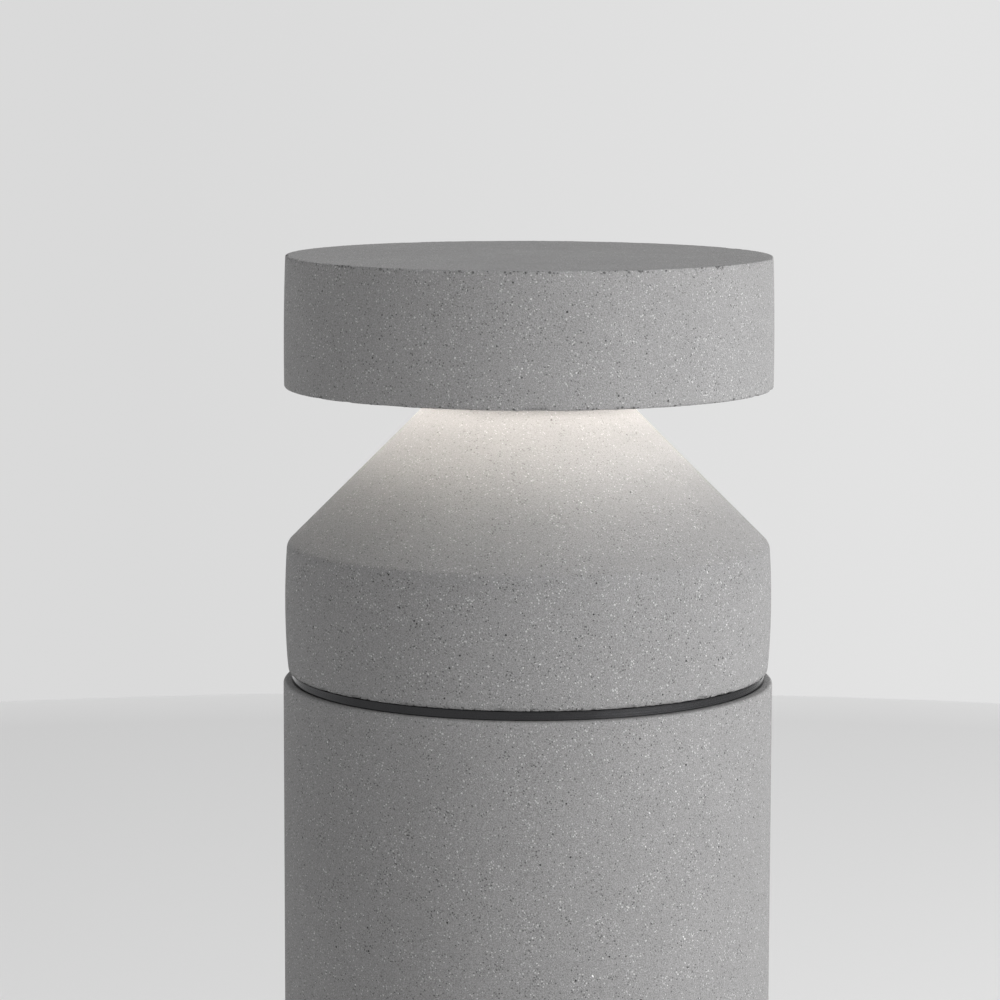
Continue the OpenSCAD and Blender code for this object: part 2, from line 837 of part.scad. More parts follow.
module connector_plug() {
    // The barrel hangs under the bridge and the lead enters from above
    color(dark_plastic)
        difference() {
            union() {
                rod(plug_r, plug_tip_z, plug_bridge_z - 8);
                rod(plug_body_r, plug_bridge_z - 12, plug_bridge_z);
                rod(plug_neck_r - fit, plug_bridge_z - 1, plug_bridge_z + plug_bridge_h + 6);
            }
            rod(lead_r + fit, plug_bridge_z + plug_bridge_h + 1, plug_bridge_z + plug_bridge_h + 7);
        }
    color(brass)
        around(spread(4), pin_circle_r) rod(pin_r, plug_tip_z - 5, plug_tip_z + 0.5);
}

module stem_tube() {
    color(bare_metal)
        difference() {
            ring(stem_r, stem_bore_r, stem_bottom_z, pocket_roof_z + 9);
            translate([0, 0, wire_z])
                rotate([0, 90, 0])
                    cylinder(r = wire_hole_r, h = stem_r + 5, $fn = 48);
        }
}

module stem_nuts() {
    color(bare_metal) {
        translate([0, 0, housing_plate_z + housing_plate_h])
            hex_nut(stem_r + fit, stem_nut_flats, stem_nut_h);
        translate([0, 0, cavity_ceiling_z - stem_washer_h - stem_nut_h])
            hex_nut(stem_r + fit, stem_nut_flats, stem_nut_h);
    }
}

module stem_washer() {
    color(zinc)
        ring(stem_washer_r, stem_r + fit, cavity_ceiling_z - stem_washer_h, cavity_ceiling_z);
}

module neck_gasket() {
    color(black_rubber) ring(spacer_r - 1, stem_r + fit, neck_top_z, neck_top_z + neck_gasket_h);
}

module neck_spacer() {
    color(dark_metal) ring(spacer_r, stem_r + fit, neck_top_z + neck_gasket_h, hub_z);
}

module cap() {
    top_edge = 0.6;
    bottom_edge = 1;
    side_steps = 8;
    foot_r = cap_d / 2;
    top_r = cap_d / 2 - cap_draft;
    outline = concat(
        arc([foot_r - bottom_edge, cap_under_z + bottom_edge], bottom_edge, -90, 0, 3),
        [for (i = [1:side_steps - 1])
            let (t = i / side_steps)
                [bulged(foot_r, top_r, cap_bulge, t), cap_under_z + t * cap_h]],
        arc([top_r - top_edge, total_h - top_edge], top_edge, 0, 90, 3),
        [[0, total_h], [0, pocket_roof_z + nut_pocket_h], [nut_pocket_r, pocket_roof_z + nut_pocket_h],
         [nut_pocket_r, pocket_roof_z], [pocket_r, pocket_roof_z], [pocket_r, cap_under_z]]
    );
    color(concrete)
        difference() {
            rotate_extrude() polygon(outline);
            around(housing_screw_angles, housing_screw_circle_r)
                rod(insert_r + fit, pocket_roof_z - 1, pocket_roof_z + insert_l + fit);
        }
}

module cap_inserts() {
    color(brass)
        around(housing_screw_angles, housing_screw_circle_r)
            cast_insert(pocket_roof_z);
}

module led_housing() {
    roof_z = housing_plate_z + housing_plate_h;
    rim_in_r = light_out_r + 0.5;
    outline = [
        [stem_r + fit, hub_z], [housing_hub_r, hub_z], [housing_hub_r, housing_plate_z],
        [housing_ledge_r, housing_plate_z], [housing_ledge_r, hub_z], [rim_in_r, hub_z],
        [rim_in_r, housing_rim_z], [housing_r, housing_rim_z], [housing_r, roof_z], [stem_r + fit, roof_z]
    ];
    color(bare_metal)
        difference() {
            rotate_extrude() polygon(outline);
            around(housing_screw_angles, housing_screw_circle_r) {
                rod(insert_screw_r + fit, hub_z - 1, roof_z + 1);
                rod(counterbore_r, hub_z - 1, hub_z + housing_counterbore_h);
            }
            around(spread(6), outer_bezel_screw_r)
                rod(small_screw_r + fit, housing_rim_z - 1, housing_rim_z + 12);
            around(inner_bezel_screw_angles, inner_bezel_screw_r)
                rod(small_screw_r + fit, hub_z - 1, hub_z + 10);
            board_screw_places() rod(small_screw_r + fit, housing_plate_z - 1, housing_plate_z + 4);
            translate([stem_r - 2, 0, wire_z])
                rotate([0, 90, 0])
                    cylinder(r = wire_hole_r, h = housing_hub_r, $fn = 48);
        }
}

module housing_screws() {
    color(bare_metal)
        around(housing_screw_angles, housing_screw_circle_r)
            translate([0, 0, hub_z + housing_counterbore_h])
                mirror([0, 0, 1])
                    cap_screw(insert_screw_r, pocket_roof_z + 12 - hub_z - housing_counterbore_h);
}

module thermal_pad() {
    color(pale_grey)
        difference() {
            ring(board_out_r, board_in_r, housing_plate_z - pad_h, housing_plate_z);
            board_screw_places() rod(small_screw_r + fit, board_z, housing_plate_z + 1);
        }
}

module led_board() {
    color(white_plastic)
        difference() {
            ring(board_out_r, board_in_r, board_z, board_z + board_h);
            board_screw_places() rod(small_screw_r + fit, board_z - 1, board_z + board_h + 1);
        }
}

// Where the board's screws go: inside both rows of LEDs and clear of the lead
module board_screw_places() {
    around([for (a = spread(6)) a + 30], board_in_r + 4.5) children();
}

module led_chip() {
    translate([-led_size / 2, -led_size / 2, board_z - led_h])
        cube([led_size, led_size, led_h]);
}

module led_chips() {
    color(warm_light) {
        around(spread(led_count), outer_led_circle_r) led_chip();
        around(spread(round(led_count / 3)), inner_led_circle_r) led_chip();
    }
}

module board_screws() {
    color(bare_metal)
        board_screw_places()
            translate([0, 0, board_z])
                mirror([0, 0, 1])
                    cap_screw(small_screw_r, board_h + pad_h + 3);
}

module reflector_rings() {
    // Two white cones, one along each edge of the board
    wall = 1;
    outer = [
        [board_out_r - 1.4, board_z - 0.2], [board_out_r - 0.4, board_z - 0.2],
        [housing_ledge_r - fit, hub_z + 0.4], [housing_ledge_r - fit - wall, hub_z + 0.4]
    ];
    inner = [
        [board_in_r + 0.6, board_z - 0.2], [board_in_r + 1.6, board_z - 0.2],
        [housing_hub_r + 2.4 + wall, diffuser_top_z + 0.4], [housing_hub_r + 2.4, diffuser_top_z + 0.4]
    ];
    color(white_plastic)
        difference() {
            union() {
                rotate_extrude() polygon(outer);
                rotate_extrude() polygon(inner);
            }
            translate([board_in_r - 6, -4, diffuser_top_z]) cube([12, 8, board_z - diffuser_top_z]);
        }
}

module diffuser() {
    color(warm_light) ring(light_out_r, light_in_r, diffuser_z, diffuser_top_z);
}

module diffuser_gaskets() {
    color(black_rubber) {
        ring(light_out_r, housing_ledge_r + 0.3, diffuser_top_z, hub_z);
        ring(inner_bezel_out_r - 2, light_in_r, diffuser_top_z, diffuser_top_z + 0.4);
    }
}

// A hole for a small screw, countersunk from below
module countersunk_hole(depth) {
    countersink_r = 3.3;
    rod(small_screw_r + fit, -1, depth);
    cylinder(r1 = countersink_r, r2 = small_screw_r, h = countersink_r - small_screw_r, $fn = 32);
}

module outer_bezel() {
    color(dark_metal)
        difference() {
            ring(housing_r, outer_bezel_in_r, bezel_z, housing_rim_z);
            around(spread(6), outer_bezel_screw_r)
                translate([0, 0, bezel_z])
                    countersunk_hole(5);
        }
}

module inner_bezel() {
    color(dark_metal)
        difference() {
            union() {
                ring(inner_bezel_out_r, spacer_r + 0.5, bezel_z, diffuser_z);
                ring(light_in_r - 0.5, spacer_r + 0.5, diffuser_z - 0.5, hub_z);
            }
            around(inner_bezel_screw_angles, inner_bezel_screw_r)
                translate([0, 0, bezel_z])
                    countersunk_hole(12);
        }
}

module bezel_screws() {
    color(bare_metal) {
        around(spread(6), outer_bezel_screw_r)
            translate([0, 0, bezel_z + 0.1])
                mirror([0, 0, 1])
                    flat_screw(small_screw_r, 12);
        around(inner_bezel_screw_angles, inner_bezel_screw_r)
            translate([0, 0, bezel_z + 0.1])
                mirror([0, 0, 1])
                    flat_screw(small_screw_r, 15);
    }
}

module led_lead() {
    color(black_rubber) tube(LED_LEAD_ROUTE, 2.2, [0, 1, 0]);
}

base_column();
foot_seal();
anchor_plate();
tie_rods();
tie_rod_washers();
tie_rod_nuts();
collar();
collar_gasket();
set_screws();
gear_tray();
gear_tray_screws();
led_driver();
driver_end_caps();
driver_screws();
terminal_box();
terminal_box_lid();
lid_gasket();
lid_screws();
terminal_block();
supply_gland();
supply_gland_nut();
driver_gland();
driver_gland_nut();
driver_lead();
earth_stud();
earth_nuts();
earth_lead();
socket_bridge();
socket_bridge_screws();
connector_socket();
socket_lead();
head_block();
block_inserts();
head_flange();
flange_screws();
plug_bridge();
plug_bridge_screws();
connector_plug();
stem_tube();
stem_nuts();
stem_washer();
neck_gasket();
neck_spacer();
cap();
cap_inserts();
led_housing();
housing_screws();
thermal_pad();
led_board();
led_chips();
board_screws();
reflector_rings();
diffuser();
diffuser_gaskets();
outer_bezel();
inner_bezel();
bezel_screws();
led_lead();
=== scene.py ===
"""Looks of a cast concrete garden bollard light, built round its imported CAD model.

The three concrete castings are rebuilt as fine turned meshes with worn edges. The other pieces
keep their CAD shapes and get procedural finishes. Metres, +Z up, the front faces -Y.
"""
import math

import bmesh
import bpy
import numpy as np
from mathutils import Matrix, Vector, noise


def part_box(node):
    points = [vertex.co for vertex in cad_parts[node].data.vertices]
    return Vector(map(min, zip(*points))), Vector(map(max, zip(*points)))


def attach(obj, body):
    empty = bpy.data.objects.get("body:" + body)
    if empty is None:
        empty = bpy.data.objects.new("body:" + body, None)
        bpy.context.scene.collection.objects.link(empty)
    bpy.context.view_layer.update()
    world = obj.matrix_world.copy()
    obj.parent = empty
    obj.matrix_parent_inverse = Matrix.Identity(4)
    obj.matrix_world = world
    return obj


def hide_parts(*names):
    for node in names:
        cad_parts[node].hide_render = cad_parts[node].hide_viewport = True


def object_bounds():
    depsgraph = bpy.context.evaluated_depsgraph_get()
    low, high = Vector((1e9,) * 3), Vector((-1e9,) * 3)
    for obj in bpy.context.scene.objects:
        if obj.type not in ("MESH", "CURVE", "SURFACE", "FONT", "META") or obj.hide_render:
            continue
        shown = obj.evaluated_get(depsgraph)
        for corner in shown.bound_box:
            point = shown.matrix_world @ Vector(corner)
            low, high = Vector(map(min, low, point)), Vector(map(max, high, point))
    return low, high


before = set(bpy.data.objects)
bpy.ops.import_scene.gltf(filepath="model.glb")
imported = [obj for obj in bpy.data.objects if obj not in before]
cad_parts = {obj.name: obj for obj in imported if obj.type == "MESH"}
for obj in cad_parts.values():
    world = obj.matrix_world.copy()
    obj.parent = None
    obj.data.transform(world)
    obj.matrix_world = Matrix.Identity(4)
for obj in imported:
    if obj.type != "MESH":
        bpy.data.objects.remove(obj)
cad_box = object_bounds()

MM = 0.001

# ---- Camera: a long lens a little above the cap, looking slightly down ----
LENS_MM = 135.1
SENSOR_MM = 36
CAMERA_DISTANCE = 1.897
CAMERA_ABOVE_CAP = 0.1183
LOOK_DOWN = math.radians(7.306)
LOOK_LEFT = math.radians(0.437)
CAMERA_ROLL = math.radians(0.143)


def link(obj):
    bpy.context.scene.collection.objects.link(obj)
    return obj


def add_camera():
    data = bpy.data.cameras.new("camera")
    data.lens = LENS_MM
    data.sensor_width = SENSOR_MM
    camera = link(bpy.data.objects.new("camera", data))
    place = Matrix.Translation((0, -CAMERA_DISTANCE, cad_box[1].z + CAMERA_ABOVE_CAP))
    left = Matrix.Rotation(LOOK_LEFT, 4, "Z")
    down = Matrix.Rotation(math.pi / 2 - LOOK_DOWN, 4, "X")
    roll = Matrix.Rotation(CAMERA_ROLL, 4, "Z")
    camera.matrix_world = place @ left @ down @ roll
    bpy.context.scene.camera = camera


# ---- Stage: a pale floor, an even backdrop and soft lights ----
FLOOR_RADIUS = 2.36
FLOOR_SIDES = 128
FLOOR_TONE = 0.81
# From this radius to the rim the floor is painted paler, by this factor: painted light that makes
# up for the lamps' light falling off towards the rim, and lets the floor run softly into the
# backdrop
FLOOR_PAINTED_LIGHT_FROM = 2.2
FLOOR_RIM_PAINTED_LIGHT = 1.10
# The backdrop's brightness on the left and on the right, from this X of a direction on
BACKDROP_LEFT = 0.70
BACKDROP_RIGHT = 0.765
BACKDROP_EDGE = 0.1
AMBIENT = 0.54
AMBIENT_BEHIND = 0.62
# The light from behind is full from this Y of a direction on, and fades out between these Z
BEHIND_FULL = 0.6
BEHIND_FADES = (0.3, 0.7)
# The share of the object's height that the lights point at
LIGHTS_AIM = 0.75
# Azimuth from the front towards the right in degrees, distance, height of the panel's middle, the
# panel's width and height, watts
LIGHTS = {
    "right": (80, 3.0, 1.25, 2.2, 2.6, 44),
    "front_right": (52, 3.0, 1.25, 2.2, 2.6, 67),
    "back_right": (105, 3.0, 1.70, 1.7, 1.7, 8.3),
}


def add_floor():
    mesh = bpy.data.meshes.new("floor")
    turns = [2 * math.pi * i / FLOOR_SIDES for i in range(FLOOR_SIDES)]
    rim = [(FLOOR_RADIUS * math.cos(t), FLOOR_RADIUS * math.sin(t), 0) for t in turns]
    mesh.from_pydata(rim, [], [range(FLOOR_SIDES)])
    floor = link(bpy.data.objects.new("floor", mesh))
    f = Finish("floor", (FLOOR_TONE, FLOOR_TONE, FLOOR_TONE), 0.9)
    # Painted light: the floor is made paler towards its rim
    f.tint(f.span(f.radius(), FLOOR_PAINTED_LIGHT_FROM, FLOOR_RADIUS, 1, FLOOR_RIM_PAINTED_LIGHT))
    mesh.materials.append(f.material)


def add_world():
    """The camera sees a plain grey backdrop, a little lighter to the right. The object gets an even
    ambient, with more from low down behind it."""
    world = bpy.data.worlds.new("studio")
    bpy.context.scene.world = world
    world.use_nodes = True
    nodes, links = world.node_tree.nodes, world.node_tree.links
    nodes.clear()
    direction = nodes.new("ShaderNodeTexCoord")
    split = nodes.new("ShaderNodeSeparateXYZ")
    links.new(direction.outputs["Generated"], split.inputs[0])

    def ramp(value, low, high, to_low, to_high):
        node = nodes.new("ShaderNodeMapRange")
        links.new(value, node.inputs["Value"])
        node.inputs["From Min"].default_value = low
        node.inputs["From Max"].default_value = high
        node.inputs["To Min"].default_value = to_low
        node.inputs["To Max"].default_value = to_high
        return node.outputs[0]

    behind = nodes.new("ShaderNodeMath")
    behind.operation = "MULTIPLY"
    links.new(ramp(split.outputs["Y"], 0, BEHIND_FULL, 0, AMBIENT_BEHIND), behind.inputs[0])
    links.new(ramp(split.outputs["Z"], *BEHIND_FADES, 1, 0), behind.inputs[1])
    total = nodes.new("ShaderNodeMath")
    links.new(behind.outputs[0], total.inputs[0])
    total.inputs[1].default_value = AMBIENT
    seen = nodes.new("ShaderNodeBackground")
    ambient = nodes.new("ShaderNodeBackground")
    links.new(total.outputs[0], ambient.inputs["Strength"])
    across = ramp(split.outputs["X"], -BACKDROP_EDGE, BACKDROP_EDGE, BACKDROP_LEFT, BACKDROP_RIGHT)
    links.new(across, seen.inputs["Strength"])
    for shader in (seen, ambient):
        shader.inputs["Color"].default_value = (1, 1, 1, 1)
    rays = nodes.new("ShaderNodeLightPath")
    mix = nodes.new("ShaderNodeMixShader")
    out = nodes.new("ShaderNodeOutputWorld")
    links.new(rays.outputs["Is Camera Ray"], mix.inputs["Fac"])
    links.new(ambient.outputs[0], mix.inputs[1])
    links.new(seen.outputs[0], mix.inputs[2])
    links.new(mix.outputs[0], out.inputs["Surface"])


def add_lights():
    aim = Vector((0, 0, cad_box[1].z * LIGHTS_AIM))
    for name, (azimuth, distance, height, panel_w, panel_h, watts) in LIGHTS.items():
        data = bpy.data.lights.new(name, "AREA")
        data.shape = "RECTANGLE"
        data.size = panel_w
        data.size_y = panel_h
        data.energy = watts
        light = link(bpy.data.objects.new(name, data))
        turn = math.radians(azimuth)
        light.location = (distance * math.sin(turn), -distance * math.cos(turn), height)
        light.rotation_euler = (aim - light.location).to_track_quat("-Z", "Y").to_euler()
        light.visible_camera = False


# ---- Finishes ----
GRAIN_TILT = (math.radians(35.3), math.radians(45), 0)
# The soft edge of a grain, in cells
GRAIN_EDGE = 0.08
# Drifts of grains: their noise scale next to the cells', and how much they shift a cell's chance
DRIFT_SCALE = 0.12
DRIFT = 0.2
# The share of a ring's reach that is at full strength
RING_CORE = 0.4
# Noise keeps mostly between these two values
NOISE_LOW, NOISE_HIGH = 0.3, 0.7
LIGHT_COLOUR = (1.0, 0.937, 0.87)
GLOW = 19.0


class Finish:
    """A principled material and short calls for the nodes that give it its pattern."""

    def __init__(self, name, colour, roughness, metallic=0.0):
        self.material = bpy.data.materials.new(name)
        self.material.use_nodes = True
        self.nodes = self.material.node_tree.nodes
        self.links = self.material.node_tree.links
        self.shader = self.nodes["Principled BSDF"]
        self.colour = colour
        self.shader.inputs["Base Color"].default_value = (*colour, 1)
        self.shader.inputs["Roughness"].default_value = roughness
        self.shader.inputs["Metallic"].default_value = metallic
        self.place = self.nodes.new("ShaderNodeTexCoord").outputs["Object"]

    def put(self, socket, value):
        if isinstance(value, bpy.types.NodeSocket):
            self.links.new(value, socket)
        else:
            socket.default_value = value

    def math(self, operation, a, b=0.0, c=0.0):
        node = self.nodes.new("ShaderNodeMath")
        node.operation = operation
        for socket, value in zip(node.inputs, (a, b, c)):
            self.put(socket, value)
        return node.outputs[0]

    def scaled(self, factors):
        """Object coordinates times a factor along each axis."""
        node = self.nodes.new("ShaderNodeVectorMath")
        node.operation = "MULTIPLY"
        self.links.new(self.place, node.inputs[0])
        node.inputs[1].default_value = factors
        return node.outputs[0]

    def radius(self):
        """Distance from the axis."""
        node = self.nodes.new("ShaderNodeVectorMath")
        node.operation = "LENGTH"
        self.links.new(self.scaled((1, 1, 0)), node.inputs[0])
        return node.outputs["Value"]

    def height(self):
        split = self.nodes.new("ShaderNodeSeparateXYZ")
        self.links.new(self.place, split.inputs[0])
        return split.outputs["Z"]

    def turned(self, pitch):
        """Coordinates that change only with radius and height, for tool marks on turned pieces."""
        marks = self.nodes.new("ShaderNodeCombineXYZ")
        self.links.new(self.math("DIVIDE", self.radius(), pitch), marks.inputs["X"])
        self.links.new(self.math("DIVIDE", self.height(), pitch), marks.inputs["Y"])
        return marks.outputs[0]

    def noise(self, scale, detail=2.0, roughness=0.5, at=None):
        node = self.nodes.new("ShaderNodeTexNoise")
        self.links.new(at or self.place, node.inputs["Vector"])
        node.inputs["Scale"].default_value = scale
        node.inputs["Detail"].default_value = detail
        node.inputs["Roughness"].default_value = roughness
        return node.outputs["Fac"]

    def cells(self, scale, at=None):
        """Distance from the middle of the nearest cell, and that cell's own random number."""
        node = self.nodes.new("ShaderNodeTexVoronoi")
        self.links.new(at or self.place, node.inputs["Vector"])
        node.inputs["Scale"].default_value = scale
        split = self.nodes.new("ShaderNodeSeparateColor")
        self.links.new(node.outputs["Color"], split.inputs[0])
        return node.outputs["Distance"], split.outputs["Red"]

    def span(self, value, low, high, to_low, to_high):
        node = self.nodes.new("ShaderNodeMapRange")
        self.links.new(value, node.inputs["Value"])
        node.inputs["From Min"].default_value = low
        node.inputs["From Max"].default_value = high
        node.inputs["To Min"].default_value = to_low
        node.inputs["To Max"].default_value = to_high
        return node.outputs[0]

    def grains(self, scale, share, radius, offset):
        """1 on grains and 0 between them. A share of the cells hold one, of up to this radius in
        cells. They lie in drifts, and the cells are tilted, so that no upright face runs along
        their rows."""
        tilted = self.nodes.new("ShaderNodeMapping")
        self.links.new(self.place, tilted.inputs["Vector"])
        tilted.inputs["Location"].default_value = (offset, offset, offset)
        tilted.inputs["Rotation"].default_value = GRAIN_TILT
        distance, chance = self.cells(scale, tilted.outputs[0])
        crowd = self.noise(scale * DRIFT_SCALE, 2, 0.6, tilted.outputs[0])
        drift = self.span(crowd, NOISE_LOW, NOISE_HIGH, -DRIFT, DRIFT)
        reach = self.span(self.math("ADD", chance, drift), 1 - share, 1, 0, radius)
        inside = self.math("SUBTRACT", reach, distance)
        return self.span(inside, 0, GRAIN_EDGE, 0, 1)

    def near_ring(self, radius, height, reach):
        """1 on a ring round the axis, falling to 0 at this reach from it."""
        out = self.math("SUBTRACT", self.radius(), radius)
        up = self.math("SUBTRACT", self.height(), height)
        away = self.math("SQRT", self.math("MULTIPLY_ADD", out, out, self.math("MULTIPLY", up, up)))
        return self.span(away, reach * RING_CORE, reach, 1, 0)

    def tint(self, factor):
        """The base colour times a pattern of brightness."""
        node = self.nodes.new("ShaderNodeVectorMath")
        node.operation = "SCALE"
        node.inputs[0].default_value = self.colour
        self.links.new(factor, node.inputs["Scale"])
        self.links.new(node.outputs[0], self.shader.inputs["Base Color"])

    def glow(self, pattern):
        """Shine in the light's colour times a pattern of brightness."""
        node = self.nodes.new("ShaderNodeVectorMath")
        node.operation = "SCALE"
        node.inputs[0].default_value = LIGHT_COLOUR
        self.links.new(pattern, node.inputs["Scale"])
        self.links.new(node.outputs[0], self.shader.inputs["Emission Color"])
        self.shader.inputs["Emission Strength"].default_value = GLOW

    def rough(self, pattern, low, high):
        spread = self.span(pattern, NOISE_LOW, NOISE_HIGH, low, high)
        self.links.new(spread, self.shader.inputs["Roughness"])

    def bump(self, height, distance, strength=1.0):
        node = self.nodes.new("ShaderNodeBump")
        self.links.new(height, node.inputs["Height"])
        node.inputs["Distance"].default_value = distance
        node.inputs["Strength"].default_value = strength
        self.links.new(node.outputs[0], self.shader.inputs["Normal"])


CONCRETE = (0.257, 0.255, 0.255)
# Painted light: the cap's concrete is made paler by this factor, to stand in for the stronger light
# that falls on it
CAP_PAINTED_LIGHT = 1.08
# How strongly grains show on the cap and from the foot of the cone to its top, next to the column
# and drum
CAP_GRAINS = 0.9
CONE_GRAINS = (0.8, 0.4)
# Corners of the head's outline at this share of its full radius or more are on the drum
DRUM_SHARE = 0.97
PIT_REACH = 1.8 * MM
SAND_SCALE = 1700
SAND_CONTRAST = 0.43
# Heights in the bump next to the sand's: large pale grains stand out, pores and pits go in
PALE_RELIEF = 0.5
HOLLOW_RELIEF = -2.5
# Cells in a metre, share of cells with a grain, largest radius in cells, offset, tone of a grain
GRAINS = {
    "fine_pale": (900, 0.45, 0.42, 0.0, 1.76),
    "large_pale": (450, 0.18, 0.27, 2.9, 1.88),
    "dark": (850, 0.45, 0.42, 3.7, 0.44),
    # The dark tones of pores and pits are painted shade in their hollows
    "pores": (300, 0.14, 0.17, 7.3, 0.15),
    "pits": (600, 0.75, 0.5, 11.1, 0.36),
}


def edge_radius(node, height):
    """Largest radius of a CAD node's corners at this height."""
    corners = [v.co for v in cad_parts[node].data.vertices]
    return max(math.hypot(c.x, c.y) for c in corners if abs(c.z - height) < MM)


def lower_edge(node):
    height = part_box(node)[0].z
    return edge_radius(node, height), height


def upper_edge(node):
    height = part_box(node)[1].z
    return edge_radius(node, height), height


def grain_strength(f, cap_foot):
    """How strongly the grains show: fully on the column and drum, less on the cap, least up the
    cone."""
    outline = turned_outline("head_block")
    widest = max(radius for radius, height in outline)
    cone_foot = max(height for radius, height in outline if radius > DRUM_SHARE * widest)
    at_foot, at_top = CONE_GRAINS
    foot = f.span(f.height(), cone_foot - MM, cone_foot, 1, at_foot)
    up_cone = f.span(f.height(), cone_foot, cap_foot, 1, at_top / at_foot)
    on_cap = f.span(f.height(), cap_foot - MM, cap_foot, 0, CAP_GRAINS)
    return f.math("MAXIMUM", f.math("MULTIPLY", foot, up_cone), on_cap)


def concrete():
    """Blasted grey concrete: fine sand, pale and dark grains, open pores, and pits along the cast
    edges, whose dark tone is painted shade in their hollows. The cap is painted paler, as painted
    light for the stronger light it gets, and the cone shows its grains less."""
    f = Finish("concrete", CONCRETE, 0.92)
    cloud = f.span(f.noise(13, 4, 0.6), NOISE_LOW, NOISE_HIGH, 0.96, 1.04)
    sand = f.noise(SAND_SCALE, 3, 0.75)
    cap_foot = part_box("cap")[0].z
    coarse = grain_strength(f, cap_foot)
    sand_tone = f.span(sand, NOISE_LOW, NOISE_HIGH, -SAND_CONTRAST, SAND_CONTRAST)
    tone = f.math("MULTIPLY_ADD", sand_tone, coarse, 1.0)
    tone = f.math("MULTIPLY", tone, cloud)
    # Painted light: from the cap's foot up the concrete is made paler
    tone = f.math("MULTIPLY", tone, f.span(f.height(), cap_foot - MM, cap_foot, 1, CAP_PAINTED_LIGHT))
    at_edge = 0.0
    for edge in (lower_edge("cap"), upper_edge("cap"), lower_edge("head_block")):
        at_edge = f.math("MAXIMUM", f.near_ring(*edge, PIT_REACH), at_edge)
    patterns = {name: f.grains(*row[:4]) for name, row in GRAINS.items()}
    patterns["pits"] = f.math("MULTIPLY", patterns["pits"], at_edge)
    # Each pattern's tone darkens or lightens the colour; for pores and pits this is painted shade
    # in the hollows
    for name, pattern in patterns.items():
        shown = f.math("MULTIPLY", pattern, coarse)
        tone = f.math("MULTIPLY", tone, f.span(shown, 0, 1, 1, GRAINS[name][4]))
    f.tint(tone)
    height = f.math("MULTIPLY_ADD", patterns["large_pale"], PALE_RELIEF, sand)
    hollows = f.math("ADD", patterns["pores"], patterns["pits"])
    height = f.math("MULTIPLY_ADD", hollows, HOLLOW_RELIEF, height)
    f.bump(height, 0.4 * MM)
    f.shader.inputs["Specular IOR Level"].default_value = 0.25
    return f.material


def turned_metal(name, colour, roughness, edge_tint=1.0):
    """Turned or milled aluminium, with fine tool marks round the axis. edge_tint dims grazing
    reflections."""
    f = Finish(name, colour, roughness, 1.0)
    f.shader.inputs["Specular Tint"].default_value = (edge_tint, edge_tint, edge_tint, 1)
    marks = f.noise(1, 2, 0.6, f.turned(0.35 * MM))
    smudge = f.noise(35, 3)
    wear = f.math("MULTIPLY_ADD", marks, 0.5, f.math("MULTIPLY", smudge, 0.5))
    f.rough(wear, roughness * 0.8, roughness * 1.2)
    f.tint(f.span(smudge, NOISE_LOW, NOISE_HIGH, 0.95, 1.05))
    f.bump(marks, 0.03 * MM, 0.5)
    return f.material


def zinc_plate(name):
    """Zinc plated steel, with faint spangle."""
    f = Finish(name, (0.62, 0.64, 0.67), 0.38, 1.0)
    _, spangle = f.cells(160)
    f.tint(f.span(spangle, 0, 1, 0.88, 1.10))
    f.rough(f.noise(90, 3), 0.30, 0.48)
    f.bump(f.noise(700, 2), 0.02 * MM, 0.5)
    return f.material


def bright_metal(name, colour, roughness):
    """Screws, nuts and inserts, with handling marks."""
    f = Finish(name, colour, roughness, 1.0)
    marks = f.noise(220, 4, 0.6)
    f.tint(f.span(marks, NOISE_LOW, NOISE_HIGH, 0.92, 1.06))
    f.rough(marks, roughness * 0.75, roughness * 1.35)
    f.bump(f.noise(1500, 2), 0.01 * MM, 0.5)
    return f.material


def moulded(name, colour, roughness):
    """Moulded plastic with a fine spark texture."""
    f = Finish(name, colour, roughness)
    f.tint(f.span(f.noise(60, 3), NOISE_LOW, NOISE_HIGH, 0.96, 1.04))
    f.rough(f.noise(300, 2), roughness * 0.85, roughness * 1.15)
    f.bump(f.noise(2200, 2), 0.04 * MM, 0.6)
    return f.material


def rubber(name):
    f = Finish(name, (0.025, 0.025, 0.026), 0.75)
    f.tint(f.span(f.noise(45, 4), NOISE_LOW, NOISE_HIGH, 0.85, 1.3))
    f.rough(f.noise(260, 3), 0.65, 0.85)
    f.bump(f.noise(1400, 3), 0.05 * MM, 0.6)
    return f.material


# Brightness of the diffuser under the inner row of LEDs and between the rows, as a share of what it
# is under the outer row
INNER_GLOW = 0.55
DIM_GLOW = 0.03
# The outer row's glow rises between these radii. The inner row's falls off between these distances
# from its middle
OUTER_GLOW_RISE = (86 * MM, 89 * MM)
INNER_GLOW_RADIUS = 61.8 * MM
INNER_GLOW_FALL = (3 * MM, 5 * MM)


def opal_light(name):
    """The lit diffuser: brightest under the outer row of LEDs, less so under the inner row, dim
    elsewhere."""
    f = Finish(name, (0.85, 0.84, 0.82), 0.5)
    f.rough(f.noise(200, 2), 0.42, 0.58)
    f.bump(f.noise(900, 2), 0.03 * MM, 0.5)
    radius = f.radius()
    outer = f.span(radius, *OUTER_GLOW_RISE, DIM_GLOW, 1)
    from_middle = f.math("ABSOLUTE", f.math("SUBTRACT", radius, INNER_GLOW_RADIUS))
    inner = f.span(from_middle, *INNER_GLOW_FALL, INNER_GLOW, DIM_GLOW)
    f.glow(f.math("MAXIMUM", outer, inner))
    return f.material


def led_phosphor(name):
    f = Finish(name, (0.90, 0.72, 0.18), 0.35)
    f.tint(f.span(f.noise(900, 2), NOISE_LOW, NOISE_HIGH, 0.9, 1.1))
    f.shader.inputs["Emission Color"].default_value = (*LIGHT_COLOUR, 1)
    f.shader.inputs["Emission Strength"].default_value = GLOW
    return f.material


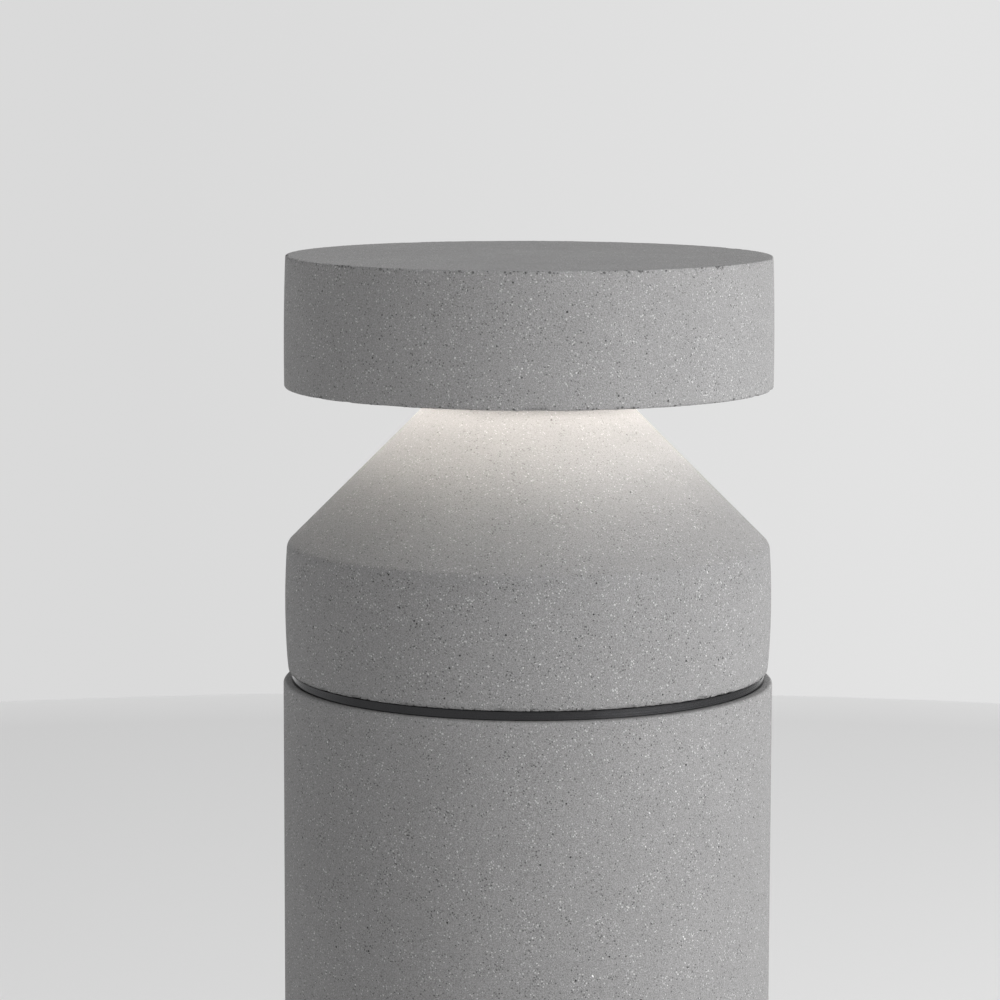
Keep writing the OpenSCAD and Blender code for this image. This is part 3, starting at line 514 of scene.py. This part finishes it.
def woven_pad(name):
    f = Finish(name, (0.48, 0.50, 0.52), 0.8)
    f.tint(f.span(f.noise(500, 2), NOISE_LOW, NOISE_HIGH, 0.9, 1.1))
    f.bump(f.noise(1200, 2), 0.1 * MM, 0.6)
    return f.material


def earth_insulation(name):
    f = Finish(name, (0.10, 0.30, 0.03), 0.45)
    f.tint(f.span(f.noise(80, 2), NOISE_LOW, NOISE_HIGH, 0.8, 1.2))
    f.bump(f.noise(900, 2), 0.05 * MM, 0.5)
    return f.material


def finishes():
    """One finish for each of the record's material slots."""
    return {
        "concrete": concrete(),
        "dark_aluminium": turned_metal("dark_aluminium", (0.054, 0.054, 0.056), 0.10, 0.6),
        "bare_aluminium": turned_metal("bare_aluminium", (0.46, 0.47, 0.48), 0.36),
        "zinc_steel": zinc_plate("zinc_steel"),
        "stainless": bright_metal("stainless", (0.60, 0.60, 0.61), 0.28),
        "brass": bright_metal("brass", (0.72, 0.52, 0.22), 0.30),
        "black_rubber": rubber("black_rubber"),
        "dark_plastic": moulded("dark_plastic", (0.030, 0.031, 0.034), 0.45),
        "white_plastic": moulded("white_plastic", (0.80, 0.80, 0.78), 0.40),
        "board_white": moulded("board_white", (0.84, 0.84, 0.82), 0.35),
        "opal": opal_light("opal"),
        "led_phosphor": led_phosphor("led_phosphor"),
        "thermal_pad": woven_pad("thermal_pad"),
        "earth_green": earth_insulation("earth_green"),
    }


def dress_cad_nodes(finish):
    """Every CAD node's slots take the finish of the same name."""
    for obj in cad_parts.values():
        for slot in obj.material_slots:
            slot.material = finish[slot.material.name.split(".")[0]]


# ---- Concrete castings ----
SEGMENTS = 1080
# Points along an outline are this far apart at a worn corner, further apart by this share of the
# distance from it, and at most the coarse step
FINE_STEP = 0.5 * MM
STEP_GROWTH = 0.3
COARSE_STEP = 40 * MM
WORN_REACH = 2.2 * MM
# Noise scales of the ragged edge, coarse and fine, and of its chips
RAGGED_SCALE = 420
RAGGED_FINE_SCALE = 900
CHIP_SCALE = 110
CHIP_OFFSET = Vector((5, 5, 5))
# Chips are where the noise is above this
CHIP_LEVEL = 0.28
SHARP_ANGLE = math.radians(55)
# Corners this near the seam's plane are on it
SEAM_WIDTH = 1e-7


def turned_outline(node):
    """The corners (radius, height) of a turned CAD node's section, in order along its seam."""
    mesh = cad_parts[node].data
    points = [(round(v.co.x, 6), round(v.co.z, 6)) for v in mesh.vertices]
    seam = [abs(v.co.y) < SEAM_WIDTH and v.co.x > 1e-6 for v in mesh.vertices]
    beside = {}
    for edge in mesh.edges:
        a, b = edge.vertices
        if seam[a] and seam[b] and points[a] != points[b]:
            beside.setdefault(points[a], set()).add(points[b])
            beside.setdefault(points[b], set()).add(points[a])
    loose = sorted(p for p in beside if len(beside[p]) == 1)
    here = loose[0] if loose else min(beside)
    outline, last = [], None
    while here is not None and here not in outline:
        outline.append(here)
        onward = [p for p in sorted(beside[here]) if p != last and p not in outline]
        last, here = here, onward[0] if onward else None
    if loose:
        outline = [(0.0, outline[0][1])] + outline + [(0.0, outline[-1][1])]
    return outline


def fine_outline(outline, worn, closed):
    """The outline with extra points, close together near its worn corners."""
    corners = [Vector(p) for p in outline]
    ends = corners[1:] + corners[:1] if closed else corners[1:]
    fine = []
    for a, b in zip(corners, ends):
        length = (b - a).length
        done = 0.0
        while done < length - FINE_STEP / 2:
            here = a.lerp(b, done / length)
            fine.append(here)
            away = min((here - Vector(w)).length for w in worn)
            done += min(max(STEP_GROWTH * away, FINE_STEP), COARSE_STEP)
    if not closed:
        fine.append(corners[-1])
    return np.array(fine)


def wear_depth(points, roughness, chipping):
    """How far the surface is worn back at each point: ragged grain by grain, with a chip here and
    there."""
    depth = np.empty(len(points))
    for i, p in enumerate(points):
        ragged = abs(noise.noise(p * RAGGED_SCALE)) + 0.5 * abs(noise.noise(p * RAGGED_FINE_SCALE))
        chip = max(0.0, noise.noise(p * CHIP_SCALE + CHIP_OFFSET) - CHIP_LEVEL)
        depth[i] = roughness * ragged + chipping * chip
    return depth


def casting(name, node, body, worn):
    """A turned concrete piece with worn edges.
    worn lists the radius, height, roughness and chipping of each edge."""
    outline = turned_outline(node)
    closed = outline[0][0] > 0
    edges = [w[:2] for w in worn]
    fine = fine_outline(outline, edges, closed)
    ahead = np.roll(fine, -1, axis=0) if closed else np.vstack([fine[1:], fine[-1:]])
    behind = np.roll(fine, 1, axis=0) if closed else np.vstack([fine[:1], fine[:-1]])
    along = ahead - behind
    along /= np.linalg.norm(along, axis=1)[:, None]
    turn = np.linspace(0, 2 * np.pi, SEGMENTS, endpoint=False)
    radius = np.repeat(fine[:, :1], SEGMENTS, axis=1)
    height = np.repeat(fine[:, 1:], SEGMENTS, axis=1)
    inward = np.stack([-along[:, 1], along[:, 0]], axis=1) * outline_side(fine)
    for edge_r, edge_z, roughness, chipping in worn:
        away = np.hypot(fine[:, 0] - edge_r, fine[:, 1] - edge_z)
        for i in np.nonzero(away < WORN_REACH)[0]:
            r, z = fine[i]
            places = [Vector((r * math.cos(t), r * math.sin(t), z)) for t in turn]
            depth = wear_depth(places, roughness, chipping) * (1 - away[i] / WORN_REACH)
            radius[i] += depth * inward[i, 0]
            height[i] += depth * inward[i, 1]
    vertices = np.stack([radius * np.cos(turn), radius * np.sin(turn), height], axis=2)
    obj = make_mesh(name, vertices.reshape(-1, 3), ring_faces(len(fine), closed))
    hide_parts(node)
    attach(obj, body)
    return obj


def outline_side(fine):
    """1 or -1, so that the outline's normals point into the concrete."""
    x, y = fine[:, 0], fine[:, 1]
    area = np.sum(x * np.roll(y, -1) - np.roll(x, -1) * y)
    return 1 if area > 0 else -1


def ring_faces(rings, closed):
    """Quads between neighbouring rings of vertices."""
    here = np.arange(SEGMENTS)
    onward = (here + 1) % SEGMENTS
    faces = []
    for ring in range(rings if closed else rings - 1):
        a, b = ring * SEGMENTS, (ring + 1) % rings * SEGMENTS
        quads = np.stack([a + here, a + onward, b + onward, b + here], axis=1)
        faces.extend(quads.tolist())
    return faces


def make_mesh(name, vertices, faces):
    mesh = bpy.data.meshes.new(name)
    mesh.from_pydata(vertices.tolist(), [], faces)
    work = bmesh.new()
    work.from_mesh(mesh)
    bmesh.ops.remove_doubles(work, verts=work.verts, dist=1e-7)
    bmesh.ops.recalc_face_normals(work, faces=work.faces)
    for face in work.faces:
        face.smooth = True
    work.to_mesh(mesh)
    work.free()
    mesh.set_sharp_from_angle(angle=SHARP_ANGLE)
    return link(bpy.data.objects.new(name, mesh))


def add_castings(finish):
    pieces = [
        casting("cap_casting", "cap", "head", [
            (*lower_edge("cap"), 0.45 * MM, 3 * MM),
            (*upper_edge("cap"), 0.35 * MM, 2 * MM)]),
        casting("head_casting", "head_block", "head", [
            (*lower_edge("head_block"), 1.2 * MM, 6 * MM)]),
        casting("column_casting", "base_column", "base", [
            (*upper_edge("base_column"), 0.2 * MM, 1 * MM),
            (*lower_edge("base_column"), 0.4 * MM, 2 * MM)]),
    ]
    for piece in pieces:
        piece.data.materials.append(finish["concrete"])


bpy.context.scene.view_settings.view_transform = "Standard"
add_camera()
add_floor()
add_world()
add_lights()
finish = finishes()
dress_cad_nodes(finish)
add_castings(finish)
